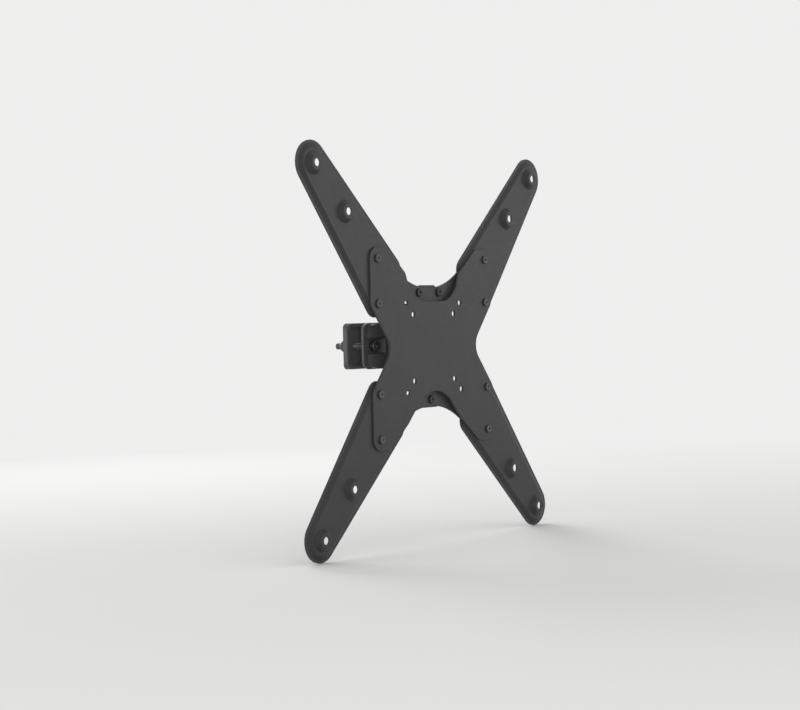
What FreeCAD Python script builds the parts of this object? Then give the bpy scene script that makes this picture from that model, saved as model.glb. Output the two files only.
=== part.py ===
"""Truss mount: a pressed-steel X head with a two-jaw tube clamp behind it.

Millimetres. +X is to the right in the front view, +Y runs from the front to the tube, +Z is up.
The origin is the centre of the square hole patterns, on the plane of the arm bosses.
"""
import FreeCAD
import Part
import math
import os

from FreeCAD import Vector

# Square hole patterns, from centre to centre, and their clearance holes
pattern_small = 75.0
pattern_medium = 100.0
pattern_large = 300.0
pattern_largest = 400.0
plate_hole_radius = 3.2
arm_hole_radius = 4.25

# Centre plate: outline corners as (x, z, corner radius) values
plate_thickness = 2.5
ear_half = 112.5
ear_corner_radius = 13.0
ear_inner_x = 83.0
ear_inner_radius = 16.0
notch_shoulder_radius = 4.0
top_notch_floor = 52.0
top_notch_corner_x = 37.4
top_notch_radius = 33.0
top_shoulder_x = 50.5
top_shoulder_z = 84.5
bottom_notch_apex = -30.7
bottom_notch_radius = 42.0
bottom_shoulder_x = 50.4
bottom_shoulder_z = -85.0
waist_half = 80.5
waist_radius = 22.0
waist_angle = 38.0
plate_edge_radius = 0.4
waist_lean = math.radians(waist_angle)
waist_sharp = waist_half - waist_radius * (1 / math.cos(waist_lean) - 1)
flank_z = (ear_half - waist_sharp) / math.tan(waist_lean)

# Arms: one sheet each, drawn up into a tray with a rim, and two coned bosses
sheet_thickness = 1.6
arm_tip_radius = 24.5
arm_root_radius = 15.0
arm_inner_root_x = 68.0
arm_inner_root_z = 88.0
rim_width = 3.0
tray_slope_width = 5.2
tray_height = 2.4
boss_base_radius = 12.5
boss_top_radius = 8.5
boss_height = 6.0
tray_bend_radius = 0.8
boss_bend_radius = 1.0

# Arm fastenings, two to each arm
ear_screw_inset = 12.5
ear_screw_lift = 1.47
arm_screw_x = ear_half - ear_screw_inset
arm_screw_high = ear_half - ear_screw_inset
arm_screw_low = flank_z + ear_screw_lift
arm_screw_radius = 2.45
arm_screw_head_radius = 4.7
arm_screw_head_height = 2.6
arm_screw_end_gap = 1.4
arm_nut_across_flats = 8.0
arm_nut_height = 4.0
hole_clearance = 0.15

# Carrier plate behind the centre plate, welded to it on a raised platform
carrier_thickness = 2.0
carrier_gap = 4.2
carrier_end_z = 67.5
carrier_side_x = 24.0
carrier_tip_x = 57.6
carrier_tip_z = 86.7
carrier_tip_radius = 1.6
carrier_tip_height = 23.0
carrier_shoulder_drop = 14.0
carrier_shoulder_radius = 5.0
platform_half_width = 13.0
platform_half_height = 36.0
platform_corner_radius = 6.0
platform_slope = 4.0

# Carrier fastenings: two above, one below
carrier_screw_x = 18.2
carrier_screw_top = 62.3
carrier_screw_bottom = -60.2
carrier_screw_radius = 2.95
carrier_screw_head_radius = 5.1
carrier_screw_head_height = 2.4
carrier_screw_end_gap = 2.0
carrier_nut_across_flats = 10.0
carrier_nut_height = 5.0

# Stand-off bracket: a folded hat section
bracket_sheet = 2.5
bracket_half_width = 25.0
bracket_depth = 34.3
bracket_top_z = 70.7
bracket_tab_half = 12.5
bracket_chamfer_drop = 7.0
bracket_bottom_z = -69.2
bracket_leg_z = 50.0
bracket_bend_radius = 2.5
window_half_width = 17.0
window_near = 31.0
window_far = 44.0
window_corner_radius = 4.0

# Tube clamp
tube_radius = 25.0
clamp_rise = 2.5
pad_thickness = 2.0
pad_setback = 0.6
jaw_half_width = 54.0
jaw_half_height = 26.5
jaw_corner_radius = 10.0
jaw_back_corner_radius = 4.0
jaw_edge_radius = 1.2
front_gap = 11.0
rear_gap = 9.5
front_flange = 3.8
rear_flange = 7.0
jaw_wall = 5.0
dome_radius = 73.4
dome_half_width = 50.0
dome_half_height = 25.2
dome_corner_radius = 13.0
mount_pad_half_width = 22.0
mount_pad_half_height = 22.0
mount_pad_corner = 4.0
core_rim = 4.0
core_depth = 2.5
core_corner_radius = 8.0
trough_rib = 4.0

# Clamp bolts, one each side of the tube
bolt_inset = 16.0
bolt_x = jaw_half_width - bolt_inset
bolt_radius = 3.7
bolt_head_radius = 6.3
bolt_head_height = 7.0
bolt_end_gap = 6.6
bolt_key_flats = 5.0
bolt_key_depth = 3.5
bolt_seat_wall = 3.6
bolt_pocket_half = 9.5
bolt_pocket_corner = 2.5
bolt_boss_radius = 9.0
bolt_seat_rise = 4.5
bolt_hole_clearance = 0.25
thread_clearance = 0.05
washer_radius = 8.2
washer_thickness = 1.6
bolt_nut_across_flats = 13.0
bolt_nut_hex_height = 5.8
bolt_nut_collar_radius = 6.4
bolt_nut_collar_height = 3.6
bolt_nut_collar_lean = 2.2
bolt_nut_turned_share = 0.33
bolt_head_round_share = 0.1
bolt_point_share = 0.25

# Clamp screws that hold the front jaw to the bracket
clamp_screw_x = 16.0
clamp_screw_z = 15.0
clamp_screw_radius = 2.95
clamp_screw_head_radius = 5.1
clamp_screw_head_height = 3.0
clamp_screw_grip = 8.0
clamp_screw_key_flats = 4.0
tapped_hole_relief = 1.5

# Cross recess in the pan heads, and the form of heads and nuts
recess_width = 1.1
recess_share = 0.62
recess_floor_share = 0.24
recess_depth_share = 0.6
head_round_share = 0.55
nut_turned_share = 0.25

# How far a cutter runs past the face that it opens, and how near two depths count as one
cut_over = 1.0
same_depth = 1e-3

# Depths that follow from the sizes above
boss_top_y = 0.0
floor_front = boss_top_y + boss_height
floor_back = floor_front + sheet_thickness
plate_front = floor_front - plate_thickness
rim_front = floor_front + tray_height
rim_back = rim_front + sheet_thickness
plate_back = plate_front + plate_thickness
carrier_front = plate_back + carrier_gap
carrier_back = carrier_front + carrier_thickness
bracket_flange_back = carrier_back + bracket_sheet
bracket_web_back = carrier_back + bracket_depth
bracket_web_front = bracket_web_back - bracket_sheet
trough_radius = tube_radius + pad_thickness
tube_y = bracket_web_back + jaw_wall + trough_radius
bolt_head_seat = tube_y - front_gap - bolt_seat_wall
nut_seat = tube_y + rear_gap + rear_flange + bolt_seat_rise
nut_front = nut_seat + washer_thickness
nut_hex_back = nut_front + bolt_nut_hex_height
nut_back = nut_hex_back + bolt_nut_collar_height
bolt_end = nut_back + bolt_end_gap
UP = Vector(0, 0, 1)
BACK = Vector(0, 1, 0)


def point(x, z, y):
    """A point from its place in the front view and its depth."""
    return Vector(x, y, z)


def rounded_outline(corners, y):
    """Closed wire through (x, z, radius) corners, each rounded by a tangent arc."""
    edges = []
    starts = []
    ends = []
    middles = []
    count = len(corners)
    for index in range(count):
        x, z, radius = corners[index]
        here = point(x, z, y)
        before = point(corners[index - 1][0], corners[index - 1][1], y)
        after = point(corners[(index + 1) % count][0], corners[(index + 1) % count][1], y)
        inward = (before - here).normalize()
        outward = (after - here).normalize()
        half_angle = inward.getAngle(outward) / 2
        reach = radius / math.tan(half_angle)
        bisector = (inward + outward).normalize()
        centre = here + bisector * (radius / math.sin(half_angle))
        starts.append(here + inward * reach)
        ends.append(here + outward * reach)
        middles.append(centre - bisector * radius)
    for index in range(count):
        if corners[index][2] > 0:
            edges.append(Part.Arc(starts[index], middles[index], ends[index]).toShape())
        following = starts[(index + 1) % count]
        if ends[index].distanceToPoint(following) > 1e-6:
            edges.append(Part.LineSegment(ends[index], following).toShape())
    return Part.Wire(edges)


def hull_outline(circles, inset, y):
    """Closed wire round (x, z, radius) circles listed counter-clockwise, drawn in by an inset."""
    count = len(circles)
    normals = []
    for index in range(count):
        x, z, radius = circles[index]
        next_x, next_z, next_radius = circles[(index + 1) % count]
        span = math.hypot(next_x - x, next_z - z)
        heading = math.atan2(next_z - z, next_x - x)
        normals.append(heading - math.pi / 2 + math.asin((radius - next_radius) / span))
    edges = []
    for index in range(count):
        x, z, radius = circles[index]
        small = radius - inset
        first = normals[index - 1]
        last = normals[index]
        while last < first:
            last += 2 * math.pi
        middle = (first + last) / 2
        turns = []
        for angle in (first, middle, last):
            turns.append(point(x + small * math.cos(angle), z + small * math.sin(angle), y))
        edges.append(Part.Arc(turns[0], turns[1], turns[2]).toShape())
        next_x, next_z, next_radius = circles[(index + 1) % count]
        target = point(next_x + (next_radius - inset) * math.cos(last),
                       next_z + (next_radius - inset) * math.sin(last), y)
        edges.append(Part.LineSegment(turns[2], target).toShape())
    return Part.Wire(edges)


def prism(wire, depth):
    """Solid from a closed wire in the front view, drawn towards the back."""
    return Part.Face(wire).extrude(BACK * depth)


def frustum(front_wire, back_wire):
    """Ruled solid between two like wires."""
    return Part.makeLoft([front_wire, back_wire], True, True)


def rod(radius, x, z, y_from, y_to):
    """Round bar along the depth axis."""
    return Part.makeCylinder(radius, y_to - y_from, point(x, z, y_from), BACK)


def cone(front_radius, back_radius, x, z, y_from, y_to):
    """Coned bar along the depth axis."""
    return Part.makeCone(front_radius, back_radius, y_to - y_from, point(x, z, y_from), BACK)


def rectangle(half_width, half_height, radius, y, centre_z=0.0):
    """Rounded rectangle in the front view."""
    corners = []
    for side_x, side_z in ((-1, -1), (1, -1), (1, 1), (-1, 1)):
        corners.append((side_x * half_width, centre_z + side_z * half_height, radius))
    return rounded_outline(corners, y)


def hexagon(across_flats, x, z, y_from, y_to):
    """Six-sided bar along the depth axis, a flat at the top."""
    corners = []
    for step in range(6):
        angle = math.radians(60 * step)
        reach = across_flats / 2 / math.cos(math.pi / 6)
        corners.append(point(x + reach * math.cos(angle), z + reach * math.sin(angle), y_from))
    corners.append(corners[0])
    return prism(Part.makePolygon(corners), y_to - y_from)


def edges_at(shape, y):
    """Edges of a shape that lie wholly on one depth plane."""
    found = []
    for edge in shape.Edges:
        box = edge.BoundBox
        if abs(box.YMin - y) < same_depth and abs(box.YMax - y) < same_depth:
            found.append(edge)
    return found


def slope_shift(rise, run, thickness):
    """How far a bend moves sideways through a sheet of a given thickness."""
    return thickness * math.tan(math.atan2(rise, run) / 2)


def export(shape, name):
    """Write one named piece."""
    shape.exportStep("parts/" + name + ".step")


def mirrored(shape, side_x, side_z):
    """Copy of an upper right piece for the quarter with these signs."""
    copy = shape
    if side_x < 0:
        copy = copy.mirror(Vector(0, 0, 0), Vector(1, 0, 0))
    if side_z < 0:
        copy = copy.mirror(Vector(0, 0, 0), UP)
    return copy


def make_centre_plate():
    """Flat X plate with notches above and below and the two small hole patterns."""
    right = [
        (bottom_shoulder_x, bottom_shoulder_z, notch_shoulder_radius),
        (ear_inner_x, -ear_half, ear_inner_radius),
        (ear_half, -ear_half, ear_corner_radius),
        (ear_half, -flank_z, ear_corner_radius),
        (waist_sharp, 0.0, waist_radius),
        (ear_half, flank_z, ear_corner_radius),
        (ear_half, ear_half, ear_corner_radius),
        (ear_inner_x, ear_half, ear_inner_radius),
        (top_shoulder_x, top_shoulder_z, notch_shoulder_radius),
        (top_notch_corner_x, top_notch_floor, top_notch_radius),
    ]
    left = [(-x, z, radius) for x, z, radius in reversed(right)]
    corners = [(0.0, bottom_notch_apex, bottom_notch_radius)] + right + left
    plate = prism(rounded_outline(corners, plate_front), plate_thickness)
    plate = plate.makeFillet(plate_edge_radius, edges_at(plate, plate_front))
    cutters = []
    for pattern in (pattern_small, pattern_medium):
        for side_x in (-1, 1):
            for side_z in (-1, 1):
                cutters.append(rod(plate_hole_radius, side_x * pattern / 2, side_z * pattern / 2,
                                   plate_front - cut_over, plate_back + cut_over))
    for side_x in (-1, 1):
        for side_z in (-1, 1):
            for height in (arm_screw_low, arm_screw_high):
                cutters.append(rod(arm_screw_radius + hole_clearance, side_x * arm_screw_x,
                                   side_z * height, plate_front - cut_over, plate_back + cut_over))
    return plate.cut(cutters)


def make_arm():
    """Upper right arm: rim, sloped wall, floor and two bosses from one sheet."""
    circles = [
        (arm_screw_x, arm_screw_low, arm_root_radius),
        (pattern_largest / 2, pattern_largest / 2, arm_tip_radius),
        (arm_inner_root_x, arm_inner_root_z, arm_root_radius),
    ]
    shift = slope_shift(tray_height, tray_slope_width, sheet_thickness)
    wall_foot = rim_width
    wall_top = rim_width + tray_slope_width
    arm = prism(hull_outline(circles, 0.0, rim_front), sheet_thickness)
    arm = arm.fuse(frustum(hull_outline(circles, wall_foot, rim_front),
                           hull_outline(circles, wall_top, floor_front)))
    boss_rise = slope_shift(boss_height, boss_base_radius - boss_top_radius, sheet_thickness)
    centres = (pattern_large / 2, pattern_largest / 2)
    for centre in centres:
        arm = arm.fuse(cone(boss_top_radius, boss_base_radius, centre, centre,
                            boss_top_y, floor_front))
    arm = arm.cut(frustum(hull_outline(circles, wall_foot + shift, rim_back),
                          hull_outline(circles, wall_top + shift, floor_back)))
    arm = arm.removeSplitter()
    bends = [edge for edge in edges_at(arm, floor_front) if not edge.Closed]
    within = Part.Face(hull_outline(circles, wall_foot / 2, rim_front))
    for edge in edges_at(arm, rim_front):
        middle = edge.valueAt((edge.FirstParameter + edge.LastParameter) / 2)
        if within.isInside(middle, same_depth, True):
            bends.append(edge)
    arm = arm.makeFillet(tray_bend_radius, bends)
    cutters = []
    for centre in centres:
        cutters.append(cone(boss_top_radius - boss_rise, boss_base_radius - boss_rise,
                            centre, centre, boss_top_y + sheet_thickness, floor_back))
    arm = arm.cut(cutters)
    rounds = []
    for edge in arm.Edges:
        circle = edge.Curve
        if isinstance(circle, Part.Circle) and edge.Closed:
            at_top = abs(circle.Center.y - boss_top_y) < same_depth
            at_base = abs(circle.Center.y - floor_front) < same_depth
            if at_top or at_base:
                rounds.append(edge)
    arm = arm.makeFillet(boss_bend_radius, rounds)
    holes = []
    for centre in centres:
        holes.append(rod(arm_hole_radius, centre, centre, boss_top_y - cut_over, floor_back))
    for height in (arm_screw_low, arm_screw_high):
        holes.append(rod(arm_screw_radius + hole_clearance, arm_screw_x, height,
                         floor_front - cut_over, floor_back + cut_over))
    return arm.cut(holes)


def cross_recess(x, z, head_radius, y_front, depth):
    """Cutter for a cross recess that tapers to its floor."""
    reach = head_radius * recess_share
    blades = []
    for half_x, half_z in ((reach, recess_width / 2), (recess_width / 2, reach)):
        blade = Part.makeBox(2 * half_x, depth, 2 * half_z, point(x - half_x, z - half_z, y_front))
        blades.append(blade)
    taper = cone(reach, head_radius * recess_floor_share, x, z, y_front, y_front + depth)
    return blades[0].fuse(blades[1]).common(taper)


def make_pan_screw(x, z, seat, head_radius, head_height, shank_radius, end):
    """Pan head machine screw, its head at the front."""
    front = seat - head_height
    head = rod(head_radius, x, z, front, seat)
    head = head.makeFillet(head_height * head_round_share, edges_at(head, front))
    head = head.cut(cross_recess(x, z, head_radius, front, head_height * recess_depth_share))
    return head.fuse(rod(shank_radius, x, z, seat, end))


def make_hex_nut(x, z, across_flats, bore_radius, y_from, y_to):
    """Plain six-sided nut with turned corners."""
    blank = hexagon(across_flats, x, z, y_from, y_to)
    corner = across_flats / 2 / math.cos(math.pi / 6)
    shoulder = y_to - (y_to - y_from) * nut_turned_share
    turned = cone(corner, across_flats - corner, x, z, shoulder, y_to)
    turned = turned.fuse(rod(corner, x, z, y_from, shoulder))
    return blank.common(turned).cut(rod(bore_radius, x, z, y_from - cut_over, y_to + cut_over))


def make_arm_screw(height):
    """Screw of the upper right arm at one height."""
    end = floor_back + arm_nut_height + arm_screw_end_gap
    return make_pan_screw(arm_screw_x, height, plate_front, arm_screw_head_radius,
                          arm_screw_head_height, arm_screw_radius, end)


def make_arm_nut(height):
    """Nut of the upper right arm at one height."""
    return make_hex_nut(arm_screw_x, height, arm_nut_across_flats, arm_screw_radius + thread_clearance,
                        floor_back, floor_back + arm_nut_height)


def carrier_outline(y):
    """Spool outline: hollow ends, wide shoulders and a narrow middle."""
    shoulder_z = carrier_tip_z - carrier_tip_height
    waist_z = shoulder_z - carrier_shoulder_drop
    flank = [
        (carrier_tip_x, carrier_tip_z),
        (carrier_tip_x, shoulder_z),
        (carrier_side_x, waist_z),
        (carrier_side_x, -waist_z),
        (carrier_tip_x, -shoulder_z),
        (carrier_tip_x, -carrier_tip_z),
    ]
    edges = []
    for sign in (1, -1):
        places = [point(sign * x, sign * z, y) for x, z in flank]
        for first, second in zip(places, places[1:]):
            edges.append(Part.LineSegment(first, second).toShape())
        middle = point(0, -sign * carrier_end_z, y)
        landing = point(-sign * carrier_tip_x, -sign * carrier_tip_z, y)
        edges.append(Part.Arc(places[-1], middle, landing).toShape())
    return Part.Wire(edges)


def make_carrier():
    """Pressed carrier plate: flat ends, a raised platform that meets the centre plate."""
    plate = prism(carrier_outline(carrier_front), carrier_thickness)
    tips = []
    shoulders = []
    for edge in plate.Edges:
        if edge.BoundBox.YLength > carrier_thickness / 2:
            if abs(abs(edge.CenterOfMass.z) - carrier_tip_z) < same_depth:
                tips.append(edge)
            else:
                shoulders.append(edge)
    plate = plate.makeFillet(carrier_tip_radius, tips)
    places = [edge.CenterOfMass for edge in shoulders]
    shoulders = [edge for edge in plate.Edges
                 if any(edge.CenterOfMass.isEqual(place, same_depth) for place in places)]
    plate = plate.makeFillet(carrier_shoulder_radius, shoulders)
    shift = slope_shift(carrier_gap, platform_slope, carrier_thickness)
    top = rectangle(platform_half_width, platform_half_height, platform_corner_radius, plate_back)
    foot = rectangle(platform_half_width + platform_slope, platform_half_height + platform_slope,
                     platform_corner_radius + platform_slope, carrier_front)
    plate = plate.fuse(frustum(top, foot))
    inner_top = rectangle(platform_half_width - shift, platform_half_height - shift,
                          platform_corner_radius - shift, plate_back + carrier_thickness)
    inner_foot = rectangle(platform_half_width + platform_slope - shift,
                           platform_half_height + platform_slope - shift,
                           platform_corner_radius + platform_slope - shift, carrier_back)
    plate = plate.cut(frustum(inner_top, inner_foot))
    holes = []
    for x, z in carrier_screw_places().values():
        holes.append(rod(carrier_screw_radius + hole_clearance, x, z,
                         carrier_front - cut_over, carrier_back + cut_over))
    return plate.cut(holes)


def carrier_screw_places():
    """Names and places of the three carrier screws."""
    return {
        "top_left": (-carrier_screw_x, carrier_screw_top),
        "top_right": (carrier_screw_x, carrier_screw_top),
        "bottom": (0.0, carrier_screw_bottom),
    }


def make_bracket():
    """Hat section folded from one strip, open at both sides."""
    inner = bracket_leg_z - bracket_sheet
    outer_bend = bracket_bend_radius + bracket_sheet
    front_path = [
        (carrier_back, bracket_top_z, 0.0),
        (bracket_flange_back, bracket_top_z, 0.0),
        (bracket_flange_back, bracket_leg_z, bracket_bend_radius),
        (bracket_web_back, bracket_leg_z, outer_bend),
        (bracket_web_back, -bracket_leg_z, outer_bend),
        (bracket_flange_back, -bracket_leg_z, bracket_bend_radius),
        (bracket_flange_back, bracket_bottom_z, 0.0),
        (carrier_back, bracket_bottom_z, 0.0),
        (carrier_back, -inner, outer_bend),
        (bracket_web_front, -inner, bracket_bend_radius),
        (bracket_web_front, inner, bracket_bend_radius),
        (carrier_back, inner, outer_bend),
    ]
    profile = rounded_outline([(y, z, radius) for y, z, radius in front_path], 0.0)
    strip = Part.Face(profile).extrude(BACK * 2 * bracket_half_width)
    strip.rotate(Vector(0, 0, 0), UP, -90)
    strip = strip.mirror(Vector(0, 0, 0), BACK)
    strip.translate(Vector(bracket_half_width - strip.BoundBox.XMax, 0, 0))
    side = bracket_half_width + cut_over
    slope = bracket_chamfer_drop / (bracket_half_width - bracket_tab_half)
    drop = bracket_chamfer_drop + slope * cut_over
    start = carrier_back - cut_over
    cutters = []
    for end, down in ((bracket_top_z, -1), (bracket_bottom_z, 1)):
        for sign in (-1, 1):
            corner = [
                point(sign * bracket_tab_half, end, start),
                point(sign * side, end, start),
                point(sign * side, end + down * drop, start),
                point(sign * bracket_tab_half, end, start),
            ]
            cutters.append(prism(Part.makePolygon(corner), bracket_sheet + 2 * cut_over))
        window = rectangle(window_half_width, (window_far - window_near) / 2, window_corner_radius,
                           bracket_web_front - cut_over, -down * (window_far + window_near) / 2)
        cutters.append(prism(window, bracket_sheet + 2 * cut_over))
    for x, z in carrier_screw_places().values():
        cutters.append(rod(carrier_screw_radius + hole_clearance, x, z,
                           start, bracket_flange_back + cut_over))
    for x, z in clamp_screw_places():
        cutters.append(rod(clamp_screw_radius + hole_clearance, x, z,
                           bracket_web_front - cut_over, bracket_web_back + cut_over))
    return strip.cut(cutters)


def clamp_screw_places():
    """Places of the four screws between the bracket and the front jaw."""
    places = []
    for side_x in (-1, 1):
        for side_z in (-1, 1):
            places.append((side_x * clamp_screw_x, clamp_rise + side_z * clamp_screw_z))
    return places


def make_jaw_blank(gap, flange_depth, outer_corner):
    """Half of the clamp before its seats and its tube trough: flange, dome and cored inner face."""
    face = tube_y - gap
    flange_front = face - flange_depth
    flange = frustum(rectangle(jaw_half_width, jaw_half_height, outer_corner, flange_front, clamp_rise),
                     rectangle(jaw_half_width, jaw_half_height, jaw_corner_radius, face, clamp_rise))
    flange = flange.makeFillet(jaw_edge_radius, edges_at(flange, flange_front) + edges_at(flange, face))
    dome_bar = Part.makeCylinder(dome_radius, 2 * dome_half_height,
                                 Vector(0, bracket_web_back + dome_radius, clamp_rise - dome_half_height),
                                 UP)
    core_floor = face - core_depth
    outline = rectangle(dome_half_width, dome_half_height, dome_corner_radius,
                        bracket_web_back - cut_over, clamp_rise)
    dome = dome_bar.common(prism(outline, core_floor - bracket_web_back + cut_over))
    blank = flange.fuse(dome).removeSplitter()
    core = prism(rectangle(jaw_half_width - core_rim, jaw_half_height - core_rim, core_corner_radius,
                           core_floor, clamp_rise), core_depth + cut_over)
    keep = Part.makeCylinder(trough_radius + trough_rib, 2 * jaw_half_height,
                             Vector(0, tube_y, clamp_rise - jaw_half_height), UP)
    return blank.cut(core.cut(keep))


def tube_trough():
    """Cutter for the round seat of a jaw's rubber liner."""
    return Part.makeCylinder(trough_radius, 2 * (jaw_half_height + cut_over),
                             Vector(0, tube_y, clamp_rise - jaw_half_height - cut_over), UP)


def make_front_jaw():
    """Fixed jaw with a flat pad, pockets for the bolt heads and tapped holes for the clamp screws."""
    pad = prism(rectangle(mount_pad_half_width, mount_pad_half_height, mount_pad_corner,
                          bracket_web_back, clamp_rise), jaw_wall + core_depth)
    jaw = make_jaw_blank(front_gap, front_flange, jaw_corner_radius).fuse(pad).removeSplitter()
    cutters = [tube_trough()]
    for side_x in (-1, 1):
        pocket = []
        for corner_x, corner_z in ((-1, -1), (1, -1), (1, 1), (-1, 1)):
            pocket.append((side_x * bolt_x + corner_x * bolt_pocket_half,
                           clamp_rise + corner_z * bolt_pocket_half, bolt_pocket_corner))
        depth = bolt_head_seat - bracket_web_back
        cutters.append(prism(rounded_outline(pocket, bracket_web_back), depth))
        cutters.append(rod(bolt_radius + bolt_hole_clearance, side_x * bolt_x, clamp_rise,
                           bracket_web_back, tube_y))
    for x, z in clamp_screw_places():
        cutters.append(rod(clamp_screw_radius + thread_clearance, x, z, bracket_web_back - cut_over,
                           bracket_web_back + clamp_screw_grip + tapped_hole_relief))
    return jaw.cut(cutters)


def make_rear_jaw():
    """Sliding jaw: the front form turned round, with raised seats for the nuts."""
    jaw = make_jaw_blank(rear_gap, rear_flange, jaw_back_corner_radius)
    flange_front = tube_y - rear_gap - rear_flange
    seat = flange_front - bolt_seat_rise
    cutters = [tube_trough()]
    for side_x in (-1, 1):
        jaw = jaw.fuse(rod(bolt_boss_radius, side_x * bolt_x, clamp_rise,
                           seat, flange_front + cut_over))
        cutters.append(rod(bolt_boss_radius, side_x * bolt_x, clamp_rise, bracket_web_back, seat))
        cutters.append(rod(bolt_radius + bolt_hole_clearance, side_x * bolt_x, clamp_rise,
                           bracket_web_back, tube_y))
    jaw = jaw.cut(cutters).removeSplitter()
    return jaw.mirror(Vector(0, tube_y, 0), BACK)


def make_grip_pad(gap):
    """Front rubber liner between a jaw and the tube."""
    height = 2 * jaw_half_height
    foot = Vector(0, tube_y, clamp_rise - jaw_half_height)
    ring = Part.makeCylinder(trough_radius, height, foot, UP)
    ring = ring.cut(Part.makeCylinder(tube_radius, height, foot, UP))
    edge = tube_y - gap - pad_setback
    keep = Part.makeBox(4 * trough_radius, trough_radius, height,
                        Vector(-2 * trough_radius, edge - trough_radius, clamp_rise - jaw_half_height))
    return ring.common(keep)


def make_bolt(x):
    """Socket head bolt through both jaws."""
    front = bolt_head_seat - bolt_head_height
    head = rod(bolt_head_radius, x, clamp_rise, front, bolt_head_seat)
    head = head.makeFillet(bolt_head_height * bolt_head_round_share, edges_at(head, front))
    head = head.cut(hexagon(bolt_key_flats, x, clamp_rise, front, front + bolt_key_depth))
    shank = rod(bolt_radius, x, clamp_rise, bolt_head_seat, bolt_end)
    shank = shank.makeChamfer(bolt_radius * bolt_point_share, edges_at(shank, bolt_end))
    return head.fuse(shank)


def make_washer(x):
    """Plain washer under a clamp nut."""
    disc = rod(washer_radius, x, clamp_rise, nut_seat, nut_front)
    return disc.cut(rod(bolt_radius + bolt_hole_clearance, x, clamp_rise,
                        nut_seat - cut_over, nut_front + cut_over))


def make_lock_nut(x):
    """Lock nut: six flats and a round collar that holds the insert."""
    blank = hexagon(bolt_nut_across_flats, x, clamp_rise, nut_front, nut_hex_back)
    corner = bolt_nut_across_flats / 2 / math.cos(math.pi / 6)
    shoulder = nut_hex_back - bolt_nut_hex_height * bolt_nut_turned_share
    turned = rod(corner, x, clamp_rise, nut_front, shoulder)
    turned = turned.fuse(cone(corner, bolt_nut_collar_radius, x, clamp_rise, shoulder, nut_hex_back))
    collar = cone(bolt_nut_collar_radius, bolt_nut_collar_radius - bolt_nut_collar_lean,
                  x, clamp_rise, nut_hex_back, nut_back)
    nut = blank.common(turned).fuse(collar)
    return nut.cut(rod(bolt_radius + thread_clearance, x, clamp_rise,
                       nut_front - cut_over, nut_back + cut_over))


def make_clamp_screw(x, z):
    """Button head screw from inside the bracket into the front jaw."""
    front = bracket_web_front - clamp_screw_head_height
    head = rod(clamp_screw_head_radius, x, z, front, bracket_web_front)
    head = head.makeFillet(clamp_screw_head_height * head_round_share, edges_at(head, front))
    head = head.cut(hexagon(clamp_screw_key_flats, x, z, front,
                            front + clamp_screw_head_height * recess_depth_share))
    return head.fuse(rod(clamp_screw_radius, x, z, bracket_web_front,
                         bracket_web_back + clamp_screw_grip))


def main():
    """Build every piece and write it to its own file."""
    os.makedirs("parts", exist_ok=True)
    export(make_centre_plate(), "centre_plate")
    arm = make_arm()
    screws = Part.makeCompound([make_arm_screw(arm_screw_low), make_arm_screw(arm_screw_high)])
    nuts = Part.makeCompound([make_arm_nut(arm_screw_low), make_arm_nut(arm_screw_high)])
    quarters = {
        "top_left": (-1, 1),
        "top_right": (1, 1),
        "bottom_left": (-1, -1),
        "bottom_right": (1, -1),
    }
    for name, (side_x, side_z) in quarters.items():
        export(mirrored(arm, side_x, side_z), "arm_" + name)
        export(mirrored(screws, side_x, side_z), "arm_screws_" + name)
        export(mirrored(nuts, side_x, side_z), "arm_nuts_" + name)
    export(make_carrier(), "carrier_plate")
    carrier_nut_back = bracket_flange_back + carrier_nut_height
    for name, (x, z) in carrier_screw_places().items():
        export(make_pan_screw(x, z, carrier_front, carrier_screw_head_radius, carrier_screw_head_height,
                              carrier_screw_radius, carrier_nut_back + carrier_screw_end_gap),
               "carrier_screw_" + name)
        export(make_hex_nut(x, z, carrier_nut_across_flats, carrier_screw_radius + thread_clearance,
                            bracket_flange_back, carrier_nut_back), "carrier_nut_" + name)
    export(make_bracket(), "standoff_bracket")
    export(make_front_jaw(), "front_jaw")
    export(make_rear_jaw(), "rear_jaw")
    export(make_grip_pad(front_gap), "front_grip_pad")
    export(make_grip_pad(rear_gap).mirror(Vector(0, tube_y, 0), BACK), "rear_grip_pad")
    export(Part.makeCompound([make_clamp_screw(x, z) for x, z in clamp_screw_places()]), "clamp_screws")
    for name, x in (("left", -bolt_x), ("right", bolt_x)):
        export(make_bolt(x), "clamp_bolt_" + name)
        export(make_washer(x), "clamp_washer_" + name)
        export(make_lock_nut(x), "clamp_nut_" + name)


main()
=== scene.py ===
"""Skins, threads, finishes and studio for a pressed-steel truss mount with a two-jaw tube clamp.

The solids come from the frame. Here they get smooth skins with eased edges, cut threads, moulded
inserts and finishes with some painted light on edges and jaws, and stand in a plain pale studio at the
reference viewpoint.
"""

import logging
import math
from dataclasses import dataclass
from enum import Enum

import bmesh
import bpy
from mathutils import Matrix, Vector


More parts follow.
